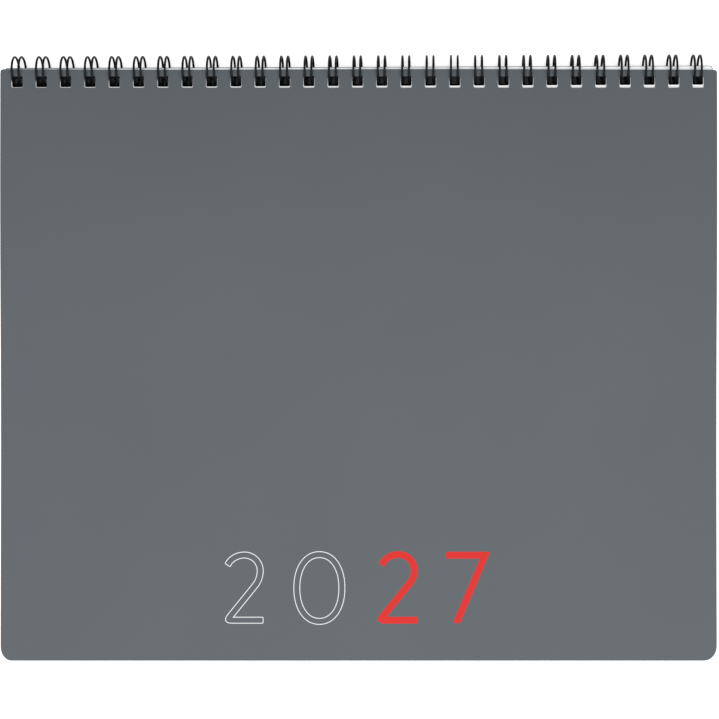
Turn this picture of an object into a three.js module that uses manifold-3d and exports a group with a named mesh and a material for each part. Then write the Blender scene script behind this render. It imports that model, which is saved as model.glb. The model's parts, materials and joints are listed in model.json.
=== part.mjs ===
// Desk planner, bound by a twin-loop wire along its top edge.
// Two plastic covers and a block of pages, all punched with one row of square holes, and the
// single bent wire that runs through the holes.
// Millimetres. +X is right, +Y is towards the wire, +Z is up. The origin lies under the middle
// of the whole planner, on the surface that it rests on.

import * as THREE from "three";
import { mergeVertices } from "three/addons/utils/BufferGeometryUtils.js";
import Module from "manifold-3d";

// Covers
const coverWidth = 249.4;
const coverHeight = 206.3;
const coverThickness = 0.5;

// Pages, cut a little smaller than the covers
const pageSideInset = 1.5;
const pageShortfall = 2.5;
const blockThickness = 4.9;

// Corners of every sheet: round away from the wire, nearly square beside it
const foreCornerRadius = 5;
const boundCornerRadius = 1;

// Twin-loop wire, three loops to the inch
const loopPitch = 25.4 / 3;
const wireDiameter = 0.8;
const legSpacing = 2.35;
const rootBendRadius = 1.1;
const tipGap = 0.35;

// Punched holes. The row sits a little off the middle of the sheets.
const holePlay = 0.85;
const holeEdge = 2.5;
const holeSideMargin = 4.4;
const holeCornerRadius = 0.4;
const rowOffset = -0.4;

// How the sheets lie on the wire
const sheetGap = 0.2;
const seamPlay = 0.2;
const ringSlack = 1.4;
const stackSink = 0.25;
const frontPlay = 0.3;
const blockPlay = 0.7;
const backPlay = 0.25;
const blockTurnDegrees = 0.2;
const backTurnDegrees = 0.04;

// How the sheets come down from the wire to lie flat
const boundMargin = 9;
const limpBendLength = 85;
const frontBendLength = 150;

// Facets
const cornerSegments = 4;
const holeCornerSegments = 1;
const bendSegments = 5;
const wireSides = 5;
const legSteps = 12;
const tipSteps = 4;
const rootBendSteps = 2;

// Sizes that follow from those above
const pageWidth = coverWidth - 2 * pageSideInset;
const pageHeight = coverHeight - pageShortfall;
const wireRadius = wireDiameter / 2;
const holeSize = legSpacing + wireDiameter + holePlay;
const loopCount = Math.floor((pageWidth - 2 * holeSideMargin) / loopPitch) + 1;
const seamGap = wireDiameter + 2 * seamPlay;
const stackAtWire = 2 * coverThickness + sheetGap + blockThickness + seamGap;
const ringRadius = stackAtWire / 2 + ringSlack;
const ringInside = ringRadius - wireRadius;
const ringOutside = ringRadius + wireRadius;

// Heights at the wire, from the axis of the rings
const frontTop = stackAtWire / 2 - stackSink;
const frontUnder = frontTop - coverThickness;
const blockTop = frontUnder - sheetGap;
const blockUnder = blockTop - blockThickness;
const backTop = blockUnder - seamGap;
const backUnder = backTop - coverThickness;
const rootHeight = (blockUnder + backTop) / 2;

// Heights of the same faces where the sheets lie flat, from the table
const blockRest = coverThickness + sheetGap;
const frontRest = blockRest + blockThickness + sheetGap;

// The other leg of a right-angled triangle: how far out a circle is at a height
function reach(radius, height) {
  return Math.sqrt(radius * radius - height * height);
}

// Along Y, from the front cover's bound edge. The front cover hangs back on the wire, and the
// pages and the back cover lie pushed up to it, as far as their holes allow.
const ringOut = reach(ringInside - frontPlay, frontTop) - holeEdge;
const blockShift = ringOut + holeEdge + holeSize - ringOutside - blockPlay;
const backShift = ringOut + holeEdge + holeSize - reach(ringOutside + backPlay, backTop);

// The origin is in the middle of the planner's full depth, wire included
const frontEdgeY = (coverHeight - ringOut - ringOutside) / 2;
const ringY = frontEdgeY + ringOut;
const ringZ = ringOutside;

const wasm = await Module();
wasm.setup();

// A three.js geometry as a solid that can be cut
function solidOf(geometry) {
  const bare = geometry.index ? geometry.toNonIndexed() : geometry.clone();
  bare.deleteAttribute("normal");
  bare.deleteAttribute("uv");
  const merged = mergeVertices(bare, 1e-4);
  return new wasm.Manifold(new wasm.Mesh({
    numProp: 3,
    vertProperties: new Float32Array(merged.attributes.position.array),
    triVerts: new Uint32Array(merged.index.array),
  }));
}

// A cut solid as a three.js geometry again
function geometryOf(solid) {
  const mesh = solid.getMesh();
  const geometry = new THREE.BufferGeometry();
  geometry.setAttribute("position", new THREE.BufferAttribute(mesh.vertProperties, 3));
  geometry.setIndex(new THREE.BufferAttribute(mesh.triVerts, 1));
  const faceted = geometry.toNonIndexed();
  faceted.computeVertexNormals();
  return faceted;
}

// Plan of a sheet, its bound edge on y = 0
function sheetOutline(width, height) {
  const halfWidth = width / 2;
  const boundX = halfWidth - boundCornerRadius;
  const foreX = halfWidth - foreCornerRadius;
  const foreY = foreCornerRadius - height;
  const outline = new THREE.Shape();
  outline.moveTo(-boundX, 0);
  outline.lineTo(boundX, 0);
  outline.absarc(boundX, -boundCornerRadius, boundCornerRadius, Math.PI / 2, 0, true);
  outline.absarc(foreX, foreY, foreCornerRadius, 0, -Math.PI / 2, true);
  outline.absarc(-foreX, foreY, foreCornerRadius, -Math.PI / 2, -Math.PI, true);
  outline.absarc(-boundX, -boundCornerRadius, boundCornerRadius, Math.PI, Math.PI / 2, true);
  return outline;
}

// Middle of each loop, and of the hole that it runs through
const loopCentres = Array.from(
  { length: loopCount },
  (_, index) => rowOffset + (index - (loopCount - 1) / 2) * loopPitch,
);

// One square hole with its corners taken off
function holeOutline(centreX) {
  const left = centreX - holeSize / 2;
  const right = centreX + holeSize / 2;
  const top = -holeEdge;
  const bottom = -holeEdge - holeSize;
  const r = holeCornerRadius;
  const outline = new THREE.Shape();
  outline.moveTo(left + r, bottom);
  outline.absarc(right - r, bottom + r, r, -Math.PI / 2, 0, false);
  outline.absarc(right - r, top - r, r, 0, Math.PI / 2, false);
  outline.absarc(left + r, top - r, r, Math.PI / 2, Math.PI, false);
  outline.absarc(left + r, bottom + r, r, Math.PI, 1.5 * Math.PI, false);
  return outline;
}

// Side view of a sheet: level through its holes, then down an even S-bend to where it lies flat.
// y runs from the bound edge, and z from the face that the sheet lies on.
function bentProfile(height, thickness, lift, bendLength) {
  const spare = 5;
  const far = -height - spare;
  const bendStart = -boundMargin;
  const bendEnd = bendStart - bendLength;
  const bendMiddle = (bendStart + bendEnd) / 2;
  const profile = new THREE.Shape();
  profile.moveTo(far, 0);
  profile.lineTo(bendEnd, 0);
  profile.bezierCurveTo(bendMiddle, 0, bendMiddle, lift, bendStart, lift);
  profile.lineTo(spare, lift);
  profile.lineTo(spare, lift + thickness);
  profile.lineTo(bendStart, lift + thickness);
  profile.bezierCurveTo(bendMiddle, lift + thickness, bendMiddle, thickness, bendEnd, thickness);
  profile.lineTo(far, thickness);
  return profile;
}

// A punched sheet or block of sheets: the side view run across its width, cut to its plan
function punchedSheet(width, height, thickness, lift, bendLength) {
  const across = new THREE.ExtrudeGeometry(bentProfile(height, thickness, lift, bendLength), {
    depth: width,
    bevelEnabled: false,
    curveSegments: bendSegments,
  });
  across.translate(0, 0, -width / 2);
  across.applyMatrix4(new THREE.Matrix4().makeBasis(
    new THREE.Vector3(0, 1, 0),
    new THREE.Vector3(0, 0, 1),
    new THREE.Vector3(1, 0, 0),
  ));
  const cutDepth = 3 * (lift + thickness);
  const plan = new THREE.ExtrudeGeometry(sheetOutline(width, height), {
    depth: cutDepth,
    bevelEnabled: false,
    curveSegments: cornerSegments,
  });
  const punches = new THREE.ExtrudeGeometry(loopCentres.map(holeOutline), {
    depth: cutDepth,
    bevelEnabled: false,
    curveSegments: holeCornerSegments,
  });
  const below = -(lift + thickness);
  plan.translate(0, 0, below);
  punches.translate(0, 0, below);
  const sheet = solidOf(across).intersect(solidOf(plan)).subtract(solidOf(punches));
  return geometryOf(sheet);
}

// The wire's course, unrolled: x along the binding, y round the ring from the root line, where
// the loops join, to the tips, which close up against it.
function unrolledWire() {
  const legReach = 2 * Math.PI * ringRadius - wireDiameter - tipGap;
  const halfLeg = legSpacing / 2;
  const halfPitch = loopPitch / 2;
  const points = [];
  const add = (curve, steps) => {
    const run = curve.getPoints(steps);
    points.push(...(points.length ? run.slice(1) : run));
  };
  const line = (x0, y0, x1, y1) => new THREE.LineCurve(
    new THREE.Vector2(x0, y0),
    new THREE.Vector2(x1, y1),
  );
  const arc = (x, y, radius, from, to, clockwise) => new THREE.EllipseCurve(
    x, y, radius, radius, from, to, clockwise, 0,
  );
  for (const centre of loopCentres) {
    const left = centre - halfLeg;
    const right = centre + halfLeg;
    const tipY = legReach - halfLeg;
    const r = rootBendRadius;
    add(line(centre - halfPitch, 0, left - r, 0), 1);
    add(arc(left - r, r, r, -Math.PI / 2, 0, false), rootBendSteps);
    add(line(left, r, left, tipY), legSteps);
    add(arc(centre, tipY, halfLeg, Math.PI, 0, true), tipSteps);
    add(line(right, tipY, right, r), legSteps);
    add(arc(right + r, r, r, Math.PI, 1.5 * Math.PI, false), rootBendSteps);
    add(line(right + r, 0, centre + halfPitch, 0), 1);
  }
  return points;
}

// The same course on the ring: from the root line it goes out through the back cover, under and
// round the spine, over the top, and in through the front cover and the pages.
function wireCourse() {
  const rootAngle = Math.asin(rootHeight / ringRadius);
  const course = new THREE.CatmullRomCurve3(unrolledWire().map((point) => {
    const angle = rootAngle - point.y / ringRadius;
    return new THREE.Vector3(
      point.x,
      -ringRadius * Math.cos(angle),
      ringRadius * Math.sin(angle),
    );
  }));
  // Sections stand at the bends' own points instead of at even lengths
  course.getPointAt = course.getPoint;
  course.getTangentAt = course.getTangent;
  return course;
}

function wireSection() {
  const section = new THREE.Shape();
  for (let side = 0; side < wireSides; side += 1) {
    const angle = side * 2 * Math.PI / wireSides;
    const x = wireRadius * Math.cos(angle);
    const y = wireRadius * Math.sin(angle);
    if (side === 0) section.moveTo(x, y);
    else section.lineTo(x, y);
  }
  return section;
}

function twinLoopWire() {
  const course = wireCourse();
  return new THREE.ExtrudeGeometry(wireSection(), {
    steps: course.points.length - 1,
    bevelEnabled: false,
    extrudePath: course,
  });
}

function piece(name, geometry, color, roughness, metalness) {
  const material = new THREE.MeshStandardMaterial({ color, roughness, metalness });
  const mesh = new THREE.Mesh(geometry, material);
  mesh.name = name;
  return mesh;
}

const backCover = piece(
  "back_cover",
  punchedSheet(coverWidth, coverHeight, coverThickness, ringZ + backUnder, limpBendLength),
  0x686c6f, 0.5, 0,
);
backCover.position.set(0, frontEdgeY + backShift, 0);
backCover.rotation.z = THREE.MathUtils.degToRad(backTurnDegrees);

const pageBlock = piece(
  "page_block",
  punchedSheet(pageWidth, pageHeight, blockThickness, ringZ + blockUnder - blockRest, limpBendLength),
  0xf4f3ee, 0.9, 0,
);
pageBlock.position.set(0, frontEdgeY + blockShift, blockRest);
pageBlock.rotation.z = THREE.MathUtils.degToRad(blockTurnDegrees);

const frontCover = piece(
  "front_cover",
  punchedSheet(coverWidth, coverHeight, coverThickness, ringZ + frontUnder - frontRest, frontBendLength),
  0x686c6f, 0.5, 0,
);
frontCover.position.set(0, frontEdgeY, frontRest);

const wireBinding = piece("wire_binding", twinLoopWire(), 0x141415, 0.4, 0.2);
wireBinding.position.set(0, ringY, ringZ);

const planner = new THREE.Group();
planner.add(backCover, pageBlock, frontCover, wireBinding);

export default planner;
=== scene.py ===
"""Desk planner on a pale table: grey plastic covers, a block of pages and a black twin-loop wire."""
import json
import math
import random

import bmesh
import bpy
from mathutils import Matrix, Vector


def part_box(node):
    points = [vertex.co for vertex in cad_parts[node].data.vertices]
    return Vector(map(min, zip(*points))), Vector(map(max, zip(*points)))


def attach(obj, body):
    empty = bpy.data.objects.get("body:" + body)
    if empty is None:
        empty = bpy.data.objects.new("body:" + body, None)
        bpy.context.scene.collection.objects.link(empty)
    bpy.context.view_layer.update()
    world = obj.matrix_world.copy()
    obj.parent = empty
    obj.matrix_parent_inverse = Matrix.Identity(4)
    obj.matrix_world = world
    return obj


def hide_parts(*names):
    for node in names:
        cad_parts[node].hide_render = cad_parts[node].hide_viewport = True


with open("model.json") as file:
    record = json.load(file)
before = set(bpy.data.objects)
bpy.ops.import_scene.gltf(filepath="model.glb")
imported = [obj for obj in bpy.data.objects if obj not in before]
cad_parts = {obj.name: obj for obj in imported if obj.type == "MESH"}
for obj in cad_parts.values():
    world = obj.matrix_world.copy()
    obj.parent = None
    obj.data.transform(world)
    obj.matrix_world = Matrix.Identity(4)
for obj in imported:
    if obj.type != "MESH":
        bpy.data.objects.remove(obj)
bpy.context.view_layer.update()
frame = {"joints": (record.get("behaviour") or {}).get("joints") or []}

# Back cover
# A sheet of grey polypropylene, punched with a row of square holes. It lies under the pages,
# flat on the table, and comes up in a gentle bend to where it hangs on the wire. Its holes are
# a little longer than the front cover's, so that it clears the wire when it is turned over.
MM = 0.001
COVER_WIDTH = 249.4 * MM
COVER_HEIGHT = 205.9 * MM
COVER_THICKNESS = 0.5 * MM
FORE_CORNER = 5 * MM
BOUND_CORNER = 1 * MM
LOOP_PITCH = 25.4 / 3 * MM
LOOP_COUNT = 29
ROW_OFFSET = -0.4 * MM
HOLE_SIZE = 4.0 * MM
HOLE_EDGE = 2.5 * MM
HOLE_CORNER = 0.45 * MM
BOUND_MARGIN = 9 * MM
BEND_LINES = 32
BEND_SEARCH_STEPS = 30
FORE_CORNER_STEPS = 10
BOUND_CORNER_STEPS = 4
HOLE_CORNER_STEPS = 3
SAME_PLACE = 0.001 * MM
RIM_WIDTH = 0.1 * MM
RIM_STEPS = 2
RIM_ANGLE = 60
# Material slots of the block's cut edges and hole walls, whose colours are painted shade.
PAINTED_SHADE_CUT_EDGE = 1
PAINTED_SHADE_HOLE_WALL = 2
SHUFFLE_SEED = 7
LOOP_CENTRES = [
    ROW_OFFSET + (index - (LOOP_COUNT - 1) / 2) * LOOP_PITCH for index in range(LOOP_COUNT)
]


def bend_height(share):
    """Height of the S-bend, from 0 to 1, at a share of its length. It is a cubic curve whose
    handles are level, and the search finds the place on it that lies at this share."""
    low, high = 0.0, 1.0
    for _ in range(BEND_SEARCH_STEPS):
        middle = (low + high) / 2
        if 1.5 * middle - 1.5 * middle ** 2 + middle ** 3 < share:
            low = middle
        else:
            high = middle
    return 3 * low ** 2 - 2 * low ** 3


def cut_lines(bm, values, normal):
    """Cuts the sheet along lines at these distances down an axis."""
    for value in values:
        bmesh.ops.bisect_plane(
            bm,
            geom=bm.verts[:] + bm.edges[:] + bm.faces[:],
            plane_co=normal * value,
            plane_no=normal,
        )


def is_hole(point, hole_width, spare=0.0):
    """Whether a point of the flat sheet lies inside one of the punched holes, or close to it."""
    in_row = -HOLE_EDGE - HOLE_SIZE - spare < point.y < -HOLE_EDGE + spare
    reach = hole_width / 2 + spare
    return in_row and any(abs(point.x - centre) < reach for centre in LOOP_CENTRES)


def is_level(face):
    """Whether a face lies flat, as the top of a sheet does, and isn't one of its walls."""
    return abs(face.normal.z) > 0.5


def raised(bm, faces, rise, keep_bottom):
    """Extrudes level faces upwards."""
    grown = bmesh.ops.extrude_face_region(bm, geom=faces, use_keep_orig=keep_bottom)
    risen = [item for item in grown["geom"] if isinstance(item, bmesh.types.BMVert)]
    bmesh.ops.translate(bm, vec=(0, 0, rise), verts=risen)


def punched_plan(width, height, bend_length, hole_width, hole_sides):
    """The flat plan of a sheet with its holes, cut across where it is going to bend."""
    bm = bmesh.new()
    bmesh.ops.create_grid(bm, x_segments=1, y_segments=1, size=0.5)
    bmesh.ops.scale(bm, vec=(width, height, 1), verts=bm.verts)
    bmesh.ops.translate(bm, vec=(0, -height / 2, 0), verts=bm.verts)
    cut_lines(bm, hole_sides, Vector((1, 0, 0)))
    bend_lines = [-BOUND_MARGIN - bend_length * line / BEND_LINES for line in range(BEND_LINES + 1)]
    cut_lines(bm, [-HOLE_EDGE, -HOLE_EDGE - HOLE_SIZE] + bend_lines, Vector((0, 1, 0)))
    holes = [face for face in bm.faces if is_hole(face.calc_center_median(), hole_width)]
    bmesh.ops.delete(bm, geom=holes, context="FACES")
    return bm


def thicken(bm, thickness, layers):
    """Grows the plan layer by layer, and leaves only its bottom, its top and its walls."""
    for layer in range(layers):
        below_top = thickness * (layer - 0.5) / layers
        top = [
            face for face in bm.faces
            if is_level(face) and face.calc_center_median().z > below_top
        ]
        raised(bm, top, thickness / layers, layer == 0)
    half_layer = thickness / layers / 2
    between = [
        face for face in bm.faces
        if is_level(face) and half_layer < face.calc_center_median().z < thickness - half_layer
    ]
    bmesh.ops.delete(bm, geom=between, context="FACES")
    bmesh.ops.recalc_face_normals(bm, faces=bm.faces)


def upright_edges(bm, spots):
    """The edges that stand on these places of the plan."""
    found = []
    for edge in bm.edges:
        first, second = (vert.co.xy for vert in edge.verts)
        upright = (first - second).length < SAME_PLACE
        if upright and any((first - spot).length < SAME_PLACE for spot in spots):
            found.append(edge)
    return found


def round_uprights(bm, width, height, hole_sides):
    """Rounds the corners of the sheet and of its holes."""
    bound_corners = [Vector((side * width / 2, 0)) for side in (-1, 1)]
    fore_corners = [Vector((side * width / 2, -height)) for side in (-1, 1)]
    hole_corners = [
        Vector((x, y)) for x in hole_sides for y in (-HOLE_EDGE, -HOLE_EDGE - HOLE_SIZE)
    ]
    for spots, radius, segments in (
        (fore_corners, FORE_CORNER, FORE_CORNER_STEPS),
        (bound_corners, BOUND_CORNER, BOUND_CORNER_STEPS),
        (hole_corners, HOLE_CORNER, HOLE_CORNER_STEPS),
    ):
        bmesh.ops.bevel(
            bm,
            geom=upright_edges(bm, spots),
            offset=radius,
            segments=segments,
            profile=0.5,
            affect="EDGES",
            material=-1,
            clamp_overlap=False,
        )


def trim_unevenly(bm, width, height, thickness, hole_width, layers, unevenness):
    """Marks the walls of a block of sheets and sets each sheet's edge a little in or out."""
    half = width / 2
    for face in bm.faces:
        heights = [vert.co.z for vert in face.verts]
        if max(heights) - min(heights) > thickness / layers / 2:
            in_hole = is_hole(face.calc_center_median(), hole_width, HOLE_CORNER)
            # Cut edges and hole walls get the materials that are painted darker as shade.
            face.material_index = PAINTED_SHADE_HOLE_WALL if in_hole else PAINTED_SHADE_CUT_EDGE
    shuffle = random.Random(SHUFFLE_SEED)
    offsets = [shuffle.uniform(-unevenness, 0) for _ in range(layers + 1)]
    for vert in bm.verts:
        outward = Vector((
            (vert.co.x > half - FORE_CORNER) - (vert.co.x < FORE_CORNER - half),
            (vert.co.y > -BOUND_CORNER) - (vert.co.y < FORE_CORNER - height),
            0,
        ))
        vert.co += outward * offsets[round(vert.co.z / thickness * layers)]


def punched_sheet(
    width, height, thickness, lift, bend_length, hole_width=HOLE_SIZE, layers=1, unevenness=0.0,
):
    """A punched sheet, or a block of them in layers, with its bound edge on y = 0."""
    hole_sides = [centre + side * hole_width / 2 for centre in LOOP_CENTRES for side in (-1, 1)]
    bm = punched_plan(width, height, bend_length, hole_width, hole_sides)
    thicken(bm, thickness, layers)
    round_uprights(bm, width, height, hole_sides)
    if unevenness:
        trim_unevenly(bm, width, height, thickness, hole_width, layers, unevenness)
    for vert in bm.verts:
        share = (vert.co.y + BOUND_MARGIN + bend_length) / bend_length
        vert.co.z += lift * bend_height(min(max(share, 0), 1))
    return bm


def lay(bm, edge_y, rest_z, turn_degrees):
    """Moves a finished sheet to its place in the stack."""
    turned = Matrix.Rotation(math.radians(turn_degrees), 4, "Z")
    placed = Matrix.Translation((0, edge_y, rest_z)) @ turned
    bmesh.ops.transform(bm, matrix=placed, verts=bm.verts)


def finished(bm, name, material, smooth_angle=30):
    """Makes the object, shaded smooth over its gentle edges."""
    mesh = bpy.data.meshes.new(name)
    for face in bm.faces:
        face.smooth = True
    for edge in bm.edges:
        is_gentle = edge.calc_face_angle(0) < math.radians(smooth_angle)
        edge.smooth = len(edge.link_faces) == 2 and is_gentle
    bm.to_mesh(mesh)
    bm.free()
    mesh.materials.append(material)
    piece = bpy.data.objects.new(name, mesh)
    bpy.context.scene.collection.objects.link(piece)
    return piece


def soften_rim(piece):
    """Takes the sharpness off the cut edges."""
    rim = piece.modifiers.new("rim", "BEVEL")
    rim.width = RIM_WIDTH
    rim.segments = RIM_STEPS
    rim.limit_method = "ANGLE"
    rim.angle_limit = math.radians(RIM_ANGLE)
    rim.use_clamp_overlap = True


def linear(hex_colour):
    """An sRGB hex colour as the linear colour that a shader takes."""
    channels = [int(hex_colour[i:i + 2], 16) / 255 for i in (1, 3, 5)]
    return tuple(c / 12.92 if c <= 0.04045 else ((c + 0.055) / 1.055) ** 2.4 for c in channels) + (1,)


def add_node(tree, kind, settings=None, links=None, **inputs):
    """Adds a node with its settings, its input values and its incoming links."""
    node = tree.nodes.new(kind)
    for key, value in (settings or {}).items():
        setattr(node, key, value)
    for key, value in inputs.items():
        node.inputs[key.replace("_", " ")].default_value = value
    for key, socket in (links or {}).items():
        tree.links.new(socket, node.inputs[key])
    return node


def new_material(name):
    """A material without nodes, and the tree to put them in."""
    material = bpy.data.materials.new(name)
    material.use_nodes = True
    material.node_tree.nodes.clear()
    return material, material.node_tree


# Extruded polypropylene sheet with a fine matt grain: grey, slightly uneven in tone, with a
# broad dull sheen. The grain is drawn at 0.6 mm, coarser than the real one, so that it shows.
def matt_polypropylene(name):
    material, tree = new_material(name)
    place = add_node(tree, "ShaderNodeTexCoord").outputs["Object"]
    cloud = add_node(tree, "ShaderNodeTexNoise", links={"Vector": place}, Scale=18, Detail=3)
    grain = add_node(tree, "ShaderNodeTexNoise", links={"Vector": place}, Scale=1600, Detail=2)
    tone = add_node(
        tree, "ShaderNodeMix", {"data_type": "RGBA"}, {"Factor": cloud.outputs["Fac"]},
        A=linear("#495156"), B=linear("#4F575C"),
    )
    bump = add_node(
        tree, "ShaderNodeBump", links={"Height": grain.outputs["Fac"]},
        Strength=0.12, Distance=0.0001,
    )
    plastic = add_node(
        tree, "ShaderNodeBsdfPrincipled",
        links={"Base Color": tone.outputs["Result"], "Normal": bump.outputs["Normal"]},
        Roughness=0.5, IOR=1.49,
    )
    add_node(tree, "ShaderNodeOutputMaterial", links={"Surface": plastic.outputs["BSDF"]})
    return material


cover_plastic = matt_polypropylene("matt grey polypropylene sheet")

# Places in the stack, taken from the solids
front_low, front_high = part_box("front_cover")
back_low, back_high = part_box("back_cover")
block_low, block_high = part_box("page_block")
LIMP_BEND = 85 * MM
BACK_TURN = 0.2
BACK_PAST_FRONT = 2.11 * MM
BACK_HOLE_SPARE = 0.3 * MM
CLEAR_OF_FRONT = 0.03 * MM
back_edge = front_high.y + BACK_PAST_FRONT
back_lift = back_high.z - back_low.z - COVER_THICKNESS - CLEAR_OF_FRONT
back_mesh = punched_sheet(COVER_WIDTH, COVER_HEIGHT, COVER_THICKNESS, back_lift, LIMP_BEND)
for vert in back_mesh.verts:
    if abs(vert.co.y + HOLE_EDGE + HOLE_SIZE) < HOLE_CORNER + BACK_HOLE_SPARE:
        vert.co.y -= BACK_HOLE_SPARE
lay(back_mesh, back_edge, back_low.z, BACK_TURN)
back_cover = finished(back_mesh, "back_cover_sheet", cover_plastic)
soften_rim(back_cover)
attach(back_cover, "back")
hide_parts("back_cover")

# Page block
# Forty-nine sheets of uncoated white writing paper, trimmed together a little smaller than the
# covers. Each sheet's cut edge stands a few hundredths of a millimetre in or out of the next.
PAGE_WIDTH = 246.4 * MM
PAGE_HEIGHT = 203.4 * MM
BLOCK_THICKNESS = 4.9 * MM
BLOCK_TURN = 0.22
SHEETS = 49
PAPER_SMOOTH_ANGLE = 50
EDGE_UNEVENNESS = 0.08 * MM
PAGES_PAST_FRONT = 0.73 * MM
PAGE_HOLE_WIDTH = 3.7 * MM


# Uncoated writing paper: a clean white with a trace of blue brightener, and fibre a few tenths
# of a millimetre long. Its cut edges are painted greyer, and the walls of the punched holes are
# painted much darker. Both are painted shade: the sheets never line up there, and little light
# comes back out from between them.
def writing_paper(name, colour, second_colour):
    material, tree = new_material(name)
    place = add_node(tree, "ShaderNodeTexCoord").outputs["Object"]
    fibre = add_node(tree, "ShaderNodeTexNoise", links={"Vector": place}, Scale=2500, Detail=4)
    tone = add_node(
        tree, "ShaderNodeMix", {"data_type": "RGBA"}, {"Factor": fibre.outputs["Fac"]},
        A=linear(colour), B=linear(second_colour),
    )
    bump = add_node(
        tree, "ShaderNodeBump", links={"Height": fibre.outputs["Fac"]},
        Strength=0.2, Distance=0.00005,
    )
    paper = add_node(
        tree, "ShaderNodeBsdfPrincipled",
        links={"Base Color": tone.outputs["Result"], "Normal": bump.outputs["Normal"]},
        Roughness=0.85, IOR=1.5,
    )
    add_node(tree, "ShaderNodeOutputMaterial", links={"Surface": paper.outputs["BSDF"]})
    return material


paper = writing_paper("uncoated white writing paper", "#F3F5F7", "#FAFBFC")
# Cut edges painted grey and hole walls painted near black: painted shade between the sheets.
cut_edge_painted_shade = writing_paper("writing paper, cut edges painted grey as shade", "#C4C6C8", "#D6D8DA")
hole_wall_painted_shade = writing_paper("writing paper, punched walls painted dark as shade", "#2C2C2E", "#363638")
block_edge = front_high.y + PAGES_PAST_FRONT
block_lift = block_high.z - block_low.z - BLOCK_THICKNESS
block_mesh = punched_sheet(
    PAGE_WIDTH, PAGE_HEIGHT, BLOCK_THICKNESS, block_lift, LIMP_BEND, PAGE_HOLE_WIDTH, SHEETS,
    EDGE_UNEVENNESS,
)
lay(block_mesh, block_edge, block_low.z, BLOCK_TURN)
page_block = finished(block_mesh, "page_block_sheets", paper, PAPER_SMOOTH_ANGLE)
# These two materials carry the painted shade of the cut edges and the hole walls.
page_block.data.materials.append(cut_edge_painted_shade)
page_block.data.materials.append(hole_wall_painted_shade)
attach(page_block, "block")
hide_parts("page_block")

# Front cover
# The same sheet as the back cover. It is stiffer than the pages under it, so it comes down
# from the wire in a longer bend. Its bound edge runs in a slow and shallow wave.
FRONT_BEND = 150 * MM
EDGE_WAVE = 0.11 * MM
EDGE_WAVE_LENGTH = 174 * MM
EDGE_WAVE_CREST = 28 * MM
front_lift = front_high.z - front_low.z - COVER_THICKNESS
front_mesh = punched_sheet(COVER_WIDTH, COVER_HEIGHT, COVER_THICKNESS, front_lift, FRONT_BEND)
for vert in front_mesh.verts:
    if vert.co.y > -HOLE_EDGE / 2:
        turn = 2 * math.pi * (vert.co.x - EDGE_WAVE_CREST) / EDGE_WAVE_LENGTH
        vert.co.y -= EDGE_WAVE * (1 - math.cos(turn))
lay(front_mesh, front_high.y, front_low.z, 0)
front_cover = finished(front_mesh, "front_cover_sheet", cover_plastic)
soften_rim(front_cover)
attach(front_cover, "front")
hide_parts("front_cover")

# Year on the front cover
# Two digits in white outline and two in solid red, screen printed on the plastic as a thin
# film of ink. Each digit is one pen stroke of even width along a line of arcs and straights.
BASELINE = 13.4 * MM
FIRST_TWO_LEFT = -46.8 * MM
ZERO_CENTRE = -13.7 * MM
LAST_TWO_LEFT = 6.8 * MM
SEVEN_LEFT = 30.36 * MM
SOLID_STROKE = 2.4 * MM
OUTLINE_STROKE = 2.35 * MM
OUTLINE = 0.26 * MM
INK_THICKNESS = 0.02 * MM
CORNER_ROUND = 0.45 * MM
SHARP_TURN = math.radians(50)
HEEL_OPENING = math.radians(60)
BASE_MIDDLE = 1.1 * MM
HEEL_ROUND = 1.9 * MM
TWO_WIDTH = 13.65 * MM
BOWL_MIDDLE = 7.0 * MM
OUTLINE_BOWL = 18.3 * MM
SOLID_BOWL = 18.45 * MM
BOWL_LEFT = 6.27 * MM
BOWL_RIGHT = 5.5 * MM
BOWL_RISE = 5.47 * MM
BOWL_START = math.radians(157)
HOOK_END = 0.35 * MM
HOOK_LEAN = math.radians(56)
OUTLINE_NECK = 8.3 * MM
SOLID_NECK = 7.0 * MM
NECK_LEAN = math.radians(39)
SEVEN_FOOT = Vector((3.6 * MM, 0.1 * MM))
SEVEN_SHOULDER = Vector((13.57 * MM, 23.7 * MM))
ZERO_MIDDLE = 12.3 * MM
ZERO_HALF = Vector((7.85 * MM, 11.6 * MM))
ZERO_SQUARENESS = 2 / 2.15
SEVEN_OVERRUN = 0.1
ARC_POINTS = 40
DIGIT_CORNER_STEPS = 6


def on_arc(centre, across, up, angle):
    """A point of an ellipse."""
    return centre + Vector((across * math.cos(angle), up * math.sin(angle)))


def two_line(bowl_height, neck_radius):
    """Centre line of a 2: over the bowl, down the neck to the heel and along the base."""
    bowl = Vector((BOWL_MIDDLE, bowl_height))
    hook = Vector((math.cos(HOOK_LEAN), math.sin(HOOK_LEAN))) * HOOK_END
    line = [on_arc(bowl, BOWL_LEFT, BOWL_RISE, BOWL_START) - hook]
    for step in range(ARC_POINTS):
        angle = BOWL_START * (1 - step / ARC_POINTS)
        across = BOWL_LEFT if angle > math.pi / 2 else BOWL_RIGHT
        line.append(on_arc(bowl, across, BOWL_RISE, angle))
    neck = bowl + Vector((BOWL_RIGHT - neck_radius, 0))
    for step in range(ARC_POINTS + 1):
        line.append(on_arc(neck, neck_radius, neck_radius, -NECK_LEAN * step / ARC_POINTS))
    drop = line[-1].y - BASE_MIDDLE
    heel = Vector((line[-1].x - drop * math.tan(NECK_LEAN), BASE_MIDDLE))
    return line + [heel, Vector((TWO_WIDTH, BASE_MIDDLE))]


def seven_line():
    """Centre line of a 7: the bar and the leaning leg, run past the foot to be cut level."""
    overrun = (SEVEN_FOOT - SEVEN_SHOULDER) * SEVEN_OVERRUN
    return [Vector((0, SEVEN_SHOULDER.y)), SEVEN_SHOULDER, SEVEN_FOOT + overrun]


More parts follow.
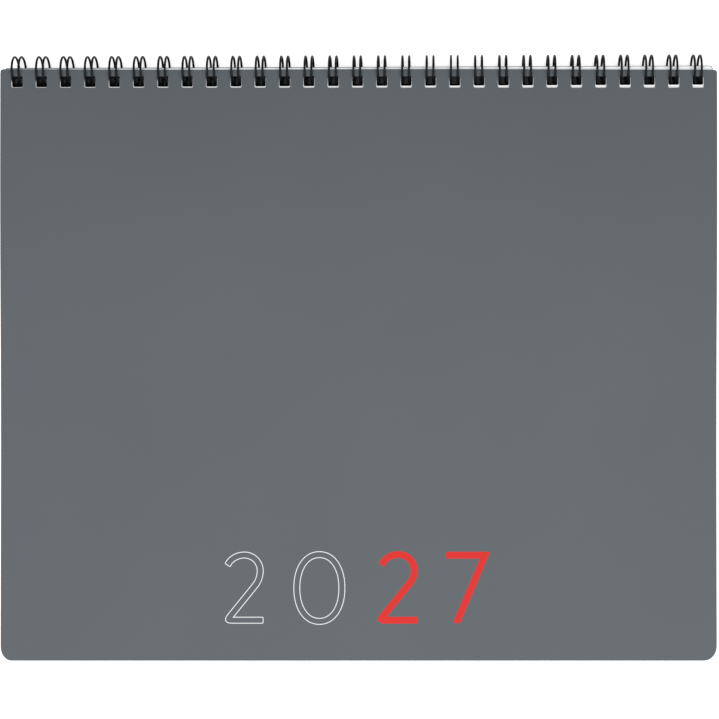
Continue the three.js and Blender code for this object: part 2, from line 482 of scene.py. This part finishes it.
def zero_line():
    """Centre line of a 0: a slightly squared ellipse."""
    line = []
    for index in range(2 * ARC_POINTS):
        angle = math.pi * index / ARC_POINTS
        across, up = math.cos(angle), math.sin(angle)
        line.append(Vector((
            ZERO_HALF.x * math.copysign(abs(across) ** ZERO_SQUARENESS, across),
            ZERO_HALF.y * math.copysign(abs(up) ** ZERO_SQUARENESS, up) + ZERO_MIDDLE,
        )))
    return line


def stroke_sides(line, width, closed):
    """Pairs of points either side of a centre line, mitred where it turns."""
    pairs = []
    count = len(line)
    for index, point in enumerate(line):
        before = line[index - 1] if index or closed else None
        after = line[(index + 1) % count] if index < count - 1 or closed else None
        into = (point - before).normalized() if before is not None else (after - point).normalized()
        out = (after - point).normalized() if after is not None else into
        normal = (into + out).normalized().orthogonal()
        normal = normal if normal.dot(into.orthogonal()) > 0 else -normal
        stretch = 1 / normal.dot(into.orthogonal().normalized())
        pairs.append((point + normal * width / 2 * stretch, point - normal * width / 2 * stretch))
    return pairs


def stroke_mesh(line, width, closed=False):
    """A flat ribbon along a centre line."""
    bm = bmesh.new()
    pairs = [
        tuple(bm.verts.new((side.x, side.y, 0)) for side in pair)
        for pair in stroke_sides(line, width, closed)
    ]
    steps = zip(pairs, pairs[1:] + pairs[:1]) if closed else zip(pairs, pairs[1:])
    for (left, right), (next_left, next_right) in steps:
        bm.faces.new((left, right, next_right, next_left))
    bmesh.ops.recalc_face_normals(bm, faces=bm.faces)
    return bm


def round_corners(bm):
    """Makes one face of a digit and rounds its outward corners."""
    bmesh.ops.dissolve_faces(bm, faces=bm.faces)
    face = bm.faces[:][0]
    corners = []
    for loop in face.loops:
        into = loop.vert.co - loop.link_loop_prev.vert.co
        out = loop.link_loop_next.vert.co - loop.vert.co
        if into.angle(out) > SHARP_TURN and into.cross(out).dot(face.normal) > 0:
            corners.append((loop.vert, math.pi - into.angle(out)))
    for vert, opening in corners:
        radius = HEEL_ROUND if opening < HEEL_OPENING else CORNER_ROUND
        bmesh.ops.bevel(
            bm, geom=[vert], offset=radius / math.tan(opening / 2), offset_type="OFFSET",
            segments=DIGIT_CORNER_STEPS, profile=0.5, affect="VERTICES", material=-1,
        )


def outlined(bm):
    """Keeps only an even line round the edges of a flat shape."""
    inner = bm.faces[:]
    bmesh.ops.inset_region(
        bm, faces=inner, thickness=OUTLINE, use_boundary=True, use_even_offset=True,
    )
    bmesh.ops.delete(bm, geom=inner, context="FACES")


def printed(bm, name, place_x, material):
    """Gives a flat digit the thickness of ink and lays it on the front cover."""
    raised(bm, bm.faces[:], INK_THICKNESS, True)
    bmesh.ops.recalc_face_normals(bm, faces=bm.faces)
    place = (place_x, front_low.y + BASELINE, front_low.z + COVER_THICKNESS)
    bmesh.ops.translate(bm, vec=place, verts=bm.verts)
    digit = finished(bm, name, material)
    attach(digit, "front")


# Screen ink: flat opaque colour, a little smoother than the plastic round it, with fine
# unevenness left by the mesh of the screen.
def screen_ink(name, colour, second_colour):
    material, tree = new_material(name)
    place = add_node(tree, "ShaderNodeTexCoord").outputs["Object"]
    weave = add_node(tree, "ShaderNodeTexNoise", links={"Vector": place}, Scale=1200, Detail=2)
    tone = add_node(
        tree, "ShaderNodeMix", {"data_type": "RGBA"}, {"Factor": weave.outputs["Fac"]},
        A=linear(colour), B=linear(second_colour),
    )
    ink = add_node(
        tree, "ShaderNodeBsdfPrincipled", links={"Base Color": tone.outputs["Result"]},
        Roughness=0.45, Specular_IOR_Level=0.2,
    )
    add_node(tree, "ShaderNodeOutputMaterial", links={"Surface": ink.outputs["BSDF"]})
    return material


white_ink = screen_ink("white screen ink", "#EDF1F2", "#F6F8F8")
red_ink = screen_ink("red screen ink", "#D61E19", "#DB231E")
first_two = stroke_mesh(two_line(OUTLINE_BOWL, OUTLINE_NECK), OUTLINE_STROKE)
round_corners(first_two)
outlined(first_two)
printed(first_two, "print_white_two", FIRST_TWO_LEFT, white_ink)
zero = stroke_mesh(zero_line(), OUTLINE_STROKE, closed=True)
outlined(zero)
printed(zero, "print_white_zero", ZERO_CENTRE, white_ink)
last_two = stroke_mesh(two_line(SOLID_BOWL, SOLID_NECK), SOLID_STROKE)
round_corners(last_two)
printed(last_two, "print_red_two", LAST_TWO_LEFT, red_ink)
seven = stroke_mesh(seven_line(), SOLID_STROKE)
bmesh.ops.bisect_plane(
    seven, geom=seven.verts[:] + seven.edges[:] + seven.faces[:],
    plane_co=SEVEN_FOOT.to_3d(), plane_no=(0, -1, 0), clear_outer=True,
)
round_corners(seven)
printed(seven, "print_red_seven", SEVEN_LEFT, red_ink)

# Wire binding
# One steel wire in a smooth black nylon coat, bent to a comb of twin loops and closed to a row
# of rings. The tips shut against the roots between the pages and the back cover.
WIRE_DIAMETER = 0.8 * MM
LEG_SPACING = 2.35 * MM
ROOT_BEND = 1.1 * MM
TIP_GAP = 0.35 * MM
RING_RADIUS = 5.05 * MM
ROOT_HEIGHT = -2.8 * MM
WIRE_TURN = 0.15
WIRE_SLACK = 0.2 * MM
WIRE_LEAN = 0.057
LEG_STEPS = 40
TIP_STEPS = 12
ROOT_STEPS = 6
WIRE_ROUNDNESS = 3
WIRE_SMOOTH_ANGLE = 50


def unrolled_arc(x, y, radius, start, end, steps):
    """Points of an arc of the unrolled wire, its first point left out."""
    angles = [start + (end - start) * step / steps for step in range(1, steps + 1)]
    return [(x + radius * math.cos(angle), y + radius * math.sin(angle)) for angle in angles]


def unrolled_wire():
    """The wire's course: x along the binding, y round the ring from the roots to the tips."""
    leg_reach = 2 * math.pi * RING_RADIUS - WIRE_DIAMETER - TIP_GAP
    half = LEG_SPACING / 2
    tip_y = leg_reach - half
    quarter = math.pi / 2
    points = [(LOOP_CENTRES[0] - LOOP_PITCH / 2, 0)]
    for centre in LOOP_CENTRES:
        left, right = centre - half, centre + half
        run = [ROOT_BEND + (tip_y - ROOT_BEND) * step / LEG_STEPS for step in range(1, LEG_STEPS)]
        points.append((left - ROOT_BEND, 0))
        points += unrolled_arc(left - ROOT_BEND, ROOT_BEND, ROOT_BEND, -quarter, 0, ROOT_STEPS)
        points += [(left, y) for y in run] + [(left, tip_y)]
        points += unrolled_arc(centre, tip_y, half, math.pi, 0, TIP_STEPS)
        points += [(right, y) for y in reversed(run)] + [(right, ROOT_BEND)]
        points += unrolled_arc(
            right + ROOT_BEND, ROOT_BEND, ROOT_BEND, math.pi, 3 * quarter, ROOT_STEPS,
        )
    points.append((LOOP_CENTRES[-1] + LOOP_PITCH / 2, 0))
    return points


# Smooth nylon coat over steel wire: near black, with a soft satin shine that is broken a
# little by the dip-coated surface.
def nylon_coat(name):
    material, tree = new_material(name)
    place = add_node(tree, "ShaderNodeTexCoord").outputs["Object"]
    orange_peel = add_node(tree, "ShaderNodeTexNoise", links={"Vector": place}, Scale=900, Detail=2)
    tone = add_node(
        tree, "ShaderNodeMix", {"data_type": "RGBA"}, {"Factor": orange_peel.outputs["Fac"]},
        A=linear("#08080A"), B=linear("#0E0E10"),
    )
    bump = add_node(
        tree, "ShaderNodeBump", links={"Height": orange_peel.outputs["Fac"]},
        Strength=0.15, Distance=0.00005,
    )
    coat = add_node(
        tree, "ShaderNodeBsdfPrincipled",
        links={"Base Color": tone.outputs["Result"], "Normal": bump.outputs["Normal"]},
        Roughness=0.33, Specular_IOR_Level=0.2,
    )
    add_node(tree, "ShaderNodeOutputMaterial", links={"Surface": coat.outputs["BSDF"]})
    return material


ring_axis = Vector(frame["joints"][0]["pos_m"])
wire_middle = ring_axis.y - WIRE_SLACK
root_angle = math.asin(ROOT_HEIGHT / RING_RADIUS)
course = []
for x, y in unrolled_wire():
    angle = root_angle - y / RING_RADIUS
    rise = RING_RADIUS * math.sin(angle)
    course.append((
        x - WIRE_LEAN * rise,
        wire_middle - RING_RADIUS * math.cos(angle) + x * math.sin(math.radians(WIRE_TURN)),
        ring_axis.z + rise,
    ))
wire_curve = bpy.data.curves.new("wire course", "CURVE")
wire_curve.dimensions = "3D"
wire_curve.bevel_depth = WIRE_DIAMETER / 2
wire_curve.bevel_resolution = WIRE_ROUNDNESS
wire_curve.use_fill_caps = True
strand = wire_curve.splines.new("POLY")
strand.points.add(len(course) - 1)
for point, place in zip(strand.points, course):
    point.co = (*place, 1)
swept = bpy.data.meshes.new_from_object(bpy.data.objects.new("wire course", wire_curve))
wire_mesh = bmesh.new()
wire_mesh.from_mesh(swept)
bpy.data.meshes.remove(swept)
bpy.data.curves.remove(wire_curve)
bmesh.ops.remove_doubles(wire_mesh, verts=wire_mesh.verts, dist=SAME_PLACE)
bmesh.ops.recalc_face_normals(wire_mesh, faces=wire_mesh.faces)
nylon = nylon_coat("black nylon coated steel wire")
wire_binding = finished(wire_mesh, "wire_binding_coated", nylon, WIRE_SMOOTH_ANGLE)
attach(wire_binding, "block")
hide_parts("wire_binding")

# Table, light and camera
# A plain white table, soft light from a broad lamp overhead and from all round, and the
# photograph's view from straight above. Under the planner the table is painted grey. This is
# painted shade, for where the table shows through the holes in full shade.
TABLE_SIZE = 6.0
TABLE_DROP = 0.02 * MM
LAMP_SIZE = 2.2
LAMP_HEIGHT = 1.6
LAMP_POWER = 36
LAMP_EDGE = 0.3
LAMP_SIDE = 0.1
ROOM_LIGHT = 0.35
CAMERA_HEIGHT = 550 * MM
CAMERA_TILT = 0.6
PHOTO_WIDTH = 719
PHOTO_SCALE = 0.3472 * MM
VIEW_SHIFT = Vector((0.28, -3.65)) * MM
GLOW = 0.55
INSIDE = 1.5 * MM


def plain_table(name, colour, glow_strength):
    """A matt surface that the camera sees a little lighter than it is."""
    material, tree = new_material(name)
    seen = add_node(tree, "ShaderNodeLightPath")
    matt = add_node(tree, "ShaderNodeBsdfDiffuse", Color=linear(colour))
    glow = add_node(tree, "ShaderNodeEmission", Color=linear("#FFFFFF"), Strength=glow_strength)
    both = add_node(
        tree, "ShaderNodeAddShader", links={0: matt.outputs["BSDF"], 1: glow.outputs["Emission"]},
    )
    plain = add_node(
        tree, "ShaderNodeMixShader",
        links={0: seen.outputs["Is Camera Ray"], 1: matt.outputs["BSDF"], 2: both.outputs["Shader"]},
    )
    add_node(tree, "ShaderNodeOutputMaterial", links={"Surface": plain.outputs["Shader"]})
    return material


table_mesh = bmesh.new()
bmesh.ops.create_grid(table_mesh, x_segments=1, y_segments=1, size=TABLE_SIZE / 2)
bmesh.ops.translate(table_mesh, vec=(0, 0, -TABLE_DROP), verts=table_mesh.verts)
cut_lines(table_mesh, [back_low.x + INSIDE, back_high.x - INSIDE], Vector((1, 0, 0)))
cut_lines(table_mesh, [back_low.y + INSIDE, back_high.y - INSIDE], Vector((0, 1, 0)))
# Faces under the planner take the grey material, which is painted shade.
for face in table_mesh.faces:
    middle = face.calc_center_median()
    under_painted_shade = back_low.x < middle.x < back_high.x and back_low.y < middle.y < back_high.y
    face.material_index = int(under_painted_shade)
table = finished(table_mesh, "table", plain_table("white table top", "#F6F6F6", GLOW))
table.data.materials.append(plain_table("table top under the planner painted grey as shade", "#7C7C7C", 0))

world = bpy.data.worlds.new("room")
world.use_nodes = True
room = world.node_tree
room.nodes.clear()
sight = add_node(room, "ShaderNodeLightPath")
strength = add_node(room, "ShaderNodeMath", {"operation": "MULTIPLY_ADD"})
room.links.new(sight.outputs["Is Camera Ray"], strength.inputs[0])
strength.inputs[1].default_value = 1 - ROOM_LIGHT
strength.inputs[2].default_value = ROOM_LIGHT
white_room = add_node(
    room, "ShaderNodeBackground", links={"Strength": strength.outputs["Value"]}, Color=(1, 1, 1, 1),
)
add_node(room, "ShaderNodeOutputWorld", links={"Surface": white_room.outputs["Background"]})
bpy.context.scene.world = world

lamp_data = bpy.data.lights.new("overhead", "AREA")
lamp_data.shape = "SQUARE"
lamp_data.size = LAMP_SIZE
lamp_data.energy = LAMP_POWER
lamp = bpy.data.objects.new("overhead", lamp_data)
lamp.location = (LAMP_SIDE, LAMP_EDGE - LAMP_SIZE / 2, LAMP_HEIGHT)
bpy.context.scene.collection.objects.link(lamp)

camera_data = bpy.data.cameras.new("camera")
camera_data.sensor_fit = "HORIZONTAL"
camera_data.angle = 2 * math.atan(PHOTO_WIDTH * PHOTO_SCALE / 2 / CAMERA_HEIGHT)
camera = bpy.data.objects.new("camera", camera_data)
cover_middle = (front_low.y + front_high.y) / 2
camera.location = (VIEW_SHIFT.x, cover_middle + VIEW_SHIFT.y, front_high.z + CAMERA_HEIGHT)
camera.rotation_euler = (math.radians(CAMERA_TILT), 0, 0)
bpy.context.scene.collection.objects.link(camera)
bpy.context.scene.camera = camera
bpy.context.scene.view_settings.view_transform = "Standard"
